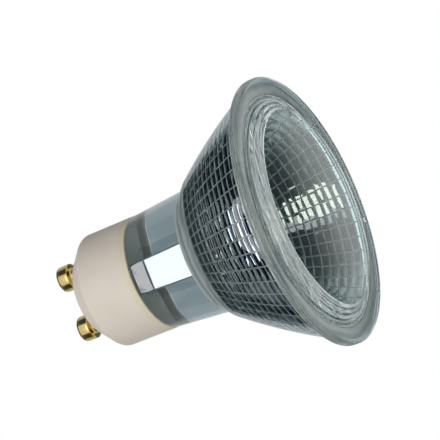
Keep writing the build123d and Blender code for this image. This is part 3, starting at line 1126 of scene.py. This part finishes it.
@dataclass(frozen=True)
class PhotoCamera:
    """The camera that took the picture, fitted to the rim, the neck, the cap and the contacts."""

    elevation: float = -24.3187
    roll: float = -112.3382
    distance: float = 358.23
    target: Place = (4.283, 0.0, 18.778)
    focal_px: float = 1974.41
    frame_px: float = 440.0
    sensor_mm: float = 36.0
    clip: tuple[float, float] = (0.01, 20.0)

    def axes(self) -> tuple[Vector, Vector, Vector]:
        """The picture's right, its up and the way back to the camera."""
        e, r = math.radians(self.elevation), math.radians(self.roll)
        back = Vector((0.0, -math.cos(e), math.sin(e)))
        right = Vector((0.0, 0.0, 1.0)).cross(back).normalized()
        up = back.cross(right)
        return right * math.cos(r) + up * math.sin(r), up * math.cos(r) - right * math.sin(r), back

    def direction(self, right: float, up: float, back: float) -> Vector:
        """A direction given in the picture's own right, up and back."""
        axes = self.axes()
        return (axes[0] * right + axes[1] * up + axes[2] * back).normalized()

    def build(self) -> bpy.types.Object:
        """Make the camera and set it as the scene's."""
        lens = bpy.data.cameras.new("photo_camera")
        lens.sensor_width = self.sensor_mm
        lens.lens = self.focal_px / self.frame_px * self.sensor_mm
        lens.clip_start, lens.clip_end = self.clip
        made = bpy.data.objects.new("photo_camera", lens)
        bpy.context.scene.collection.objects.link(made)
        right, up, back = self.axes()
        place = Vector(self.target) * MM + back * self.distance * MM
        turn = Matrix((right, up, back)).transposed().to_4x4()
        made.matrix_world = Matrix.Translation(place) @ turn
        bpy.context.scene.camera = made
        return made


def card(name: str, half_width: float, half_height: float) -> bpy.types.Object:
    """Lay a flat card of a half width and half height, in millimetres, on X and Y."""
    mesh = bpy.data.meshes.new(name)
    corners = [(-1, -1), (1, -1), (1, 1), (-1, 1)]
    mesh.from_pydata([(x * half_width * MM, y * half_height * MM, 0.0) for x, y in corners], [], [range(4)])
    made = bpy.data.objects.new(name, mesh)
    bpy.context.scene.collection.objects.link(made)
    return made


@dataclass(frozen=True)
class Softbox:
    """A studio softbox: a lamp that lights the piece, and the face that it mirrors.

    Its direction is in the piece's X, Y and Z. A flag is one with a dark face and no lamp.
    """

    name: str
    direction: Place
    width: float
    height: float
    watts: float
    glow: float
    colour: str = "#ffffff"
    distance: float = 900.0

    def frame(self) -> Matrix:
        """Where the softbox hangs, facing the lamp."""
        way = Vector(self.direction).normalized()
        turn = way.to_track_quat("Z", "Y").to_matrix().to_4x4()
        return Matrix.Translation(way * self.distance * MM) @ turn

    def build(self) -> None:
        """Hang the lamp and its face."""
        if self.watts > 0:
            lamp = bpy.data.lights.new(self.name, "AREA")
            lamp.shape = "RECTANGLE"
            lamp.size, lamp.size_y = self.width * MM, self.height * MM
            lamp.energy = self.watts
            lamp.color = linear(self.colour)[:3]
            hung = bpy.data.objects.new(self.name, lamp)
            bpy.context.scene.collection.objects.link(hung)
            hung.matrix_world = self.frame()
            hung.visible_camera = False
            hung.visible_glossy = False
            hung.visible_transmission = False
        if self.glow > 0:
            face = card(self.name + "_face", self.width / 2, self.height / 2)
            material = bpy.data.materials.new(self.name + " face")
            material.use_nodes = True
            tree = material.node_tree
            tree.nodes.clear()
            glow = add_node(tree, "ShaderNodeEmission", {"Color": linear(self.colour), "Strength": self.glow})
            add_node(tree, "ShaderNodeOutputMaterial", links={"Surface": glow.outputs[0]})
            face.data.materials.append(material)
            face.matrix_world = self.frame()
            face.visible_camera = False
            face.visible_diffuse = False
            face.visible_shadow = False


@dataclass
class Studio:
    """The white set: the room's light and the floor under the lamp."""

    ambient: float = 0.3
    floor_half: float = 2500.0
    floor_drop: float = 0.05
    floor_fade: tuple[float, float] = (350.0, 900.0)
    bounces: tuple[int, int, int] = (40, 24, 32)

    def room(self) -> None:
        """White behind everything, and a room of grey bands for glass and metal to show."""
        world = bpy.data.worlds.new("studio")
        bpy.context.scene.world = world
        world.use_nodes = True
        tree = world.node_tree
        tree.nodes.clear()
        way = add_node(tree, "ShaderNodeTexCoord").outputs["Generated"]
        height = add_node(tree, "ShaderNodeSeparateXYZ", links={0: way}).outputs["Z"]
        share = add_node(tree, "ShaderNodeMapRange", {"From Min": -1.0, "From Max": 1.0}, {"Value": height})
        bands = add_node(tree, "ShaderNodeValToRGB", links={0: share.outputs[0]})
        stops = [
            (-1.0, "#10191d"), (-0.50, "#1c272b"), (-0.42, "#5c6363"), (-0.33, "#dfe4e4"), (-0.03, "#e8ecec"),
            (0.06, "#b0b8ba"), (0.15, "#84939a"), (0.36, "#828f96"), (0.42, "#acb4b8"), (0.60, "#a4adb2"),
            (0.72, "#141d22"), (1.0, "#0f171c"),
        ]
        ramp = bands.color_ramp
        while len(ramp.elements) < len(stops):
            ramp.elements.new(0.5)
        for element, (at, colour) in zip(ramp.elements, stops):
            element.position = (at + 1) / 2
            element.color = linear(colour)
        path = add_node(tree, "ShaderNodeLightPath")
        seen = add_node(
            tree, "ShaderNodeMath",
            links={0: path.outputs["Is Glossy Ray"], 1: path.outputs["Is Transmission Ray"]},
            operation="MAXIMUM",
        )
        diffuse = add_node(
            tree, "ShaderNodeMix", {"A": (self.ambient,) * 3 + (1.0,)},
            {"Factor": seen.outputs[0], "B": bands.outputs["Color"]}, data_type="RGBA",
        )
        shown = add_node(
            tree, "ShaderNodeMix", {"B": WHITE},
            {"Factor": path.outputs["Is Camera Ray"], "A": diffuse.outputs["Result"]}, data_type="RGBA",
        )
        light = add_node(tree, "ShaderNodeBackground", links={"Color": shown.outputs["Result"]})
        add_node(tree, "ShaderNodeOutputWorld", links={"Surface": light.outputs[0]})

    def paper(self) -> bpy.types.Material:
        """White studio paper: it keeps the lamp's shadow, and far off it turns into the white of the room.

        Only its upper side is drawn, because the photograph's camera stands lower than the floor.
        """
        made = bpy.data.materials.new("white studio paper")
        made.use_nodes = True
        tree = made.node_tree
        tree.nodes.clear()
        lit = add_node(tree, "ShaderNodeBsdfDiffuse", {"Color": linear("#f2f1ef")})
        spot = add_node(tree, "ShaderNodeTexCoord").outputs["Object"]
        reach = add_node(tree, "ShaderNodeVectorMath", links={0: spot}, operation="LENGTH").outputs["Value"]
        near, far = (edge * MM for edge in self.floor_fade)
        share = add_node(
            tree, "ShaderNodeMapRange", {"From Min": near, "From Max": far}, {"Value": reach},
            interpolation_type="SMOOTHSTEP",
        )
        glow = add_node(
            tree, "ShaderNodeMix", {"A": linear("#303030"), "B": WHITE}, {"Factor": share.outputs[0]},
            data_type="RGBA",
        )
        own = add_node(tree, "ShaderNodeEmission", {"Strength": 1.0}, {"Color": glow.outputs["Result"]})
        both = add_node(tree, "ShaderNodeAddShader", links={0: lit.outputs[0], 1: own.outputs[0]})
        below = add_node(tree, "ShaderNodeNewGeometry").outputs["Backfacing"]
        clear = add_node(tree, "ShaderNodeBsdfTransparent")
        mix = add_node(tree, "ShaderNodeMixShader", links={0: below, 1: both.outputs[0], 2: clear.outputs[0]})
        add_node(tree, "ShaderNodeOutputMaterial", links={"Surface": mix.outputs[0]})
        return made

    def floor(self) -> None:
        """The pale floor under the lamp, which only the camera sees."""
        made = card("floor", self.floor_half, self.floor_half)
        made.data.materials.append(self.paper())
        made.matrix_world = Matrix.Translation((0.0, 0.0, -self.floor_drop * MM))
        made.visible_diffuse = False
        made.visible_glossy = False
        made.visible_transmission = False
        made.visible_shadow = False

    def build(self, camera: PhotoCamera) -> None:
        """Set the studio up."""
        self.room()
        self.floor()
        for softbox in (
            Softbox("key_light", tuple(camera.direction(0.0, -0.2, 0.98)), 500, 500, 5.6, 0.0),
            Softbox("paper_glow", (0.0, 0.57, -0.82), 1500, 680, 0.0, 1.7, "#f4fbfb"),
            Softbox("rear_light", (-0.3, 0.9, 0.35), 500, 500, 2.4, 0.0),
            Softbox("top_light", (0.0, -0.2, 1.0), 640, 300, 3.2, 0.0),
            Softbox("top_strip", (0.03, -0.24, 0.97), 560, 70, 0.0, 3.2, "#f4f1fb"),
            Softbox("side_wall", (-0.62, -0.05, 0.78), 460, 460, 0.0, 0.3, "#dfe9f2"),
            Softbox("back_wall", (0.0, 0.81, 0.59), 1400, 340, 0.0, 0.75, "#eef3f6"),
            Softbox("front_light", (0.0, -0.92, 0.38), 860, 150, 0.0, 2.3, "#fff0f0"),
            Softbox("right_flag", (0.9, -0.3, 0.42), 760, 480, 0.0, 0.04),
            Softbox("left_flag", (-0.9, -0.3, 0.42), 760, 480, 0.0, 0.04),
            Softbox("front_wall", (0.0, -0.94, 0.36), 1500, 900, 0.0, 0.8, "#f2eff6", distance=950.0),
            Softbox("slot_card", (-0.01, -0.945, -0.325), 170, 96, 0.0, 1.13, "#ffe6e6"),
            Softbox("low_light", (-0.04, -0.72, -0.70), 430, 170, 0.0, 2.6, "#fff0de"),
            Softbox("low_strip", (0.22, -0.62, -0.75), 150, 300, 0.0, 1.0, "#ffeaea"),
            Softbox("ceiling", (-0.02, 0.38, 0.92), 540, 460, 0.0, 0.5, "#eef1f8"),
        ):
            softbox.build()
        bpy.context.scene.view_settings.view_transform = "Standard"
        cycles = bpy.context.scene.cycles
        cycles.max_bounces, cycles.glossy_bounces, cycles.transmission_bounces = self.bounces


def carry(piece: bpy.types.Object, slot: Slot, *nodes: str) -> None:
    """Let a piece ride on the lamp and stand for its nodes."""
    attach(piece, "root")
    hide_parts(*nodes)
    log.info("%s: %d faces", piece.name, len(piece.data.polygons))


def dress(node: bpy.types.Object, finish: Finish) -> None:
    """Give a frame node its finish."""
    node.data.materials.clear()
    node.data.materials.append(finish.material())
    log.info("%s keeps its frame mesh", node.name)


def main() -> None:
    """Build the lamp, the studio and the camera."""
    logging.basicConfig(level=logging.INFO, format="%(message)s")
    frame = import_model()
    camera = PhotoCamera()
    camera.build()
    Studio().build(camera)
    carry(Reflector().build(), Slot.MIRRORED_GLASS, "reflector")
    carry(FrontGlass().build(), Slot.PRESSED_GLASS, "front_glass")
    carry(CeramicCap().build(), Slot.STEATITE, "ceramic_cap")
    carry(Contact(1).build(), Slot.BRASS, "contact_right")
    carry(Contact(-1).build(), Slot.BRASS, "contact_left")
    nodes = frame["nodes"]
    for name, finish in {
        "rim_adhesive": SILICONE,
        "cap_cement": LAMP_CEMENT,
        "pinch_cement": LAMP_CEMENT,
        "capsule_envelope": QUARTZ_GLASS,
        "filament": TUNGSTEN,
        "filament_support": TUNGSTEN,
        "foil_left": MOLYBDENUM,
        "foil_right": MOLYBDENUM,
        "inner_lead_left": TUNGSTEN,
        "inner_lead_right": TUNGSTEN,
        "outer_lead_left": LEAD_WIRE,
        "outer_lead_right": LEAD_WIRE,
        "sleeve_left": GLASS_FIBRE,
        "sleeve_right": GLASS_FIBRE,
        "solder_left": SOLDER,
        "solder_right": SOLDER,
    }.items():
        dress(nodes[name], finish)


if __name__ == "__main__":
    main()
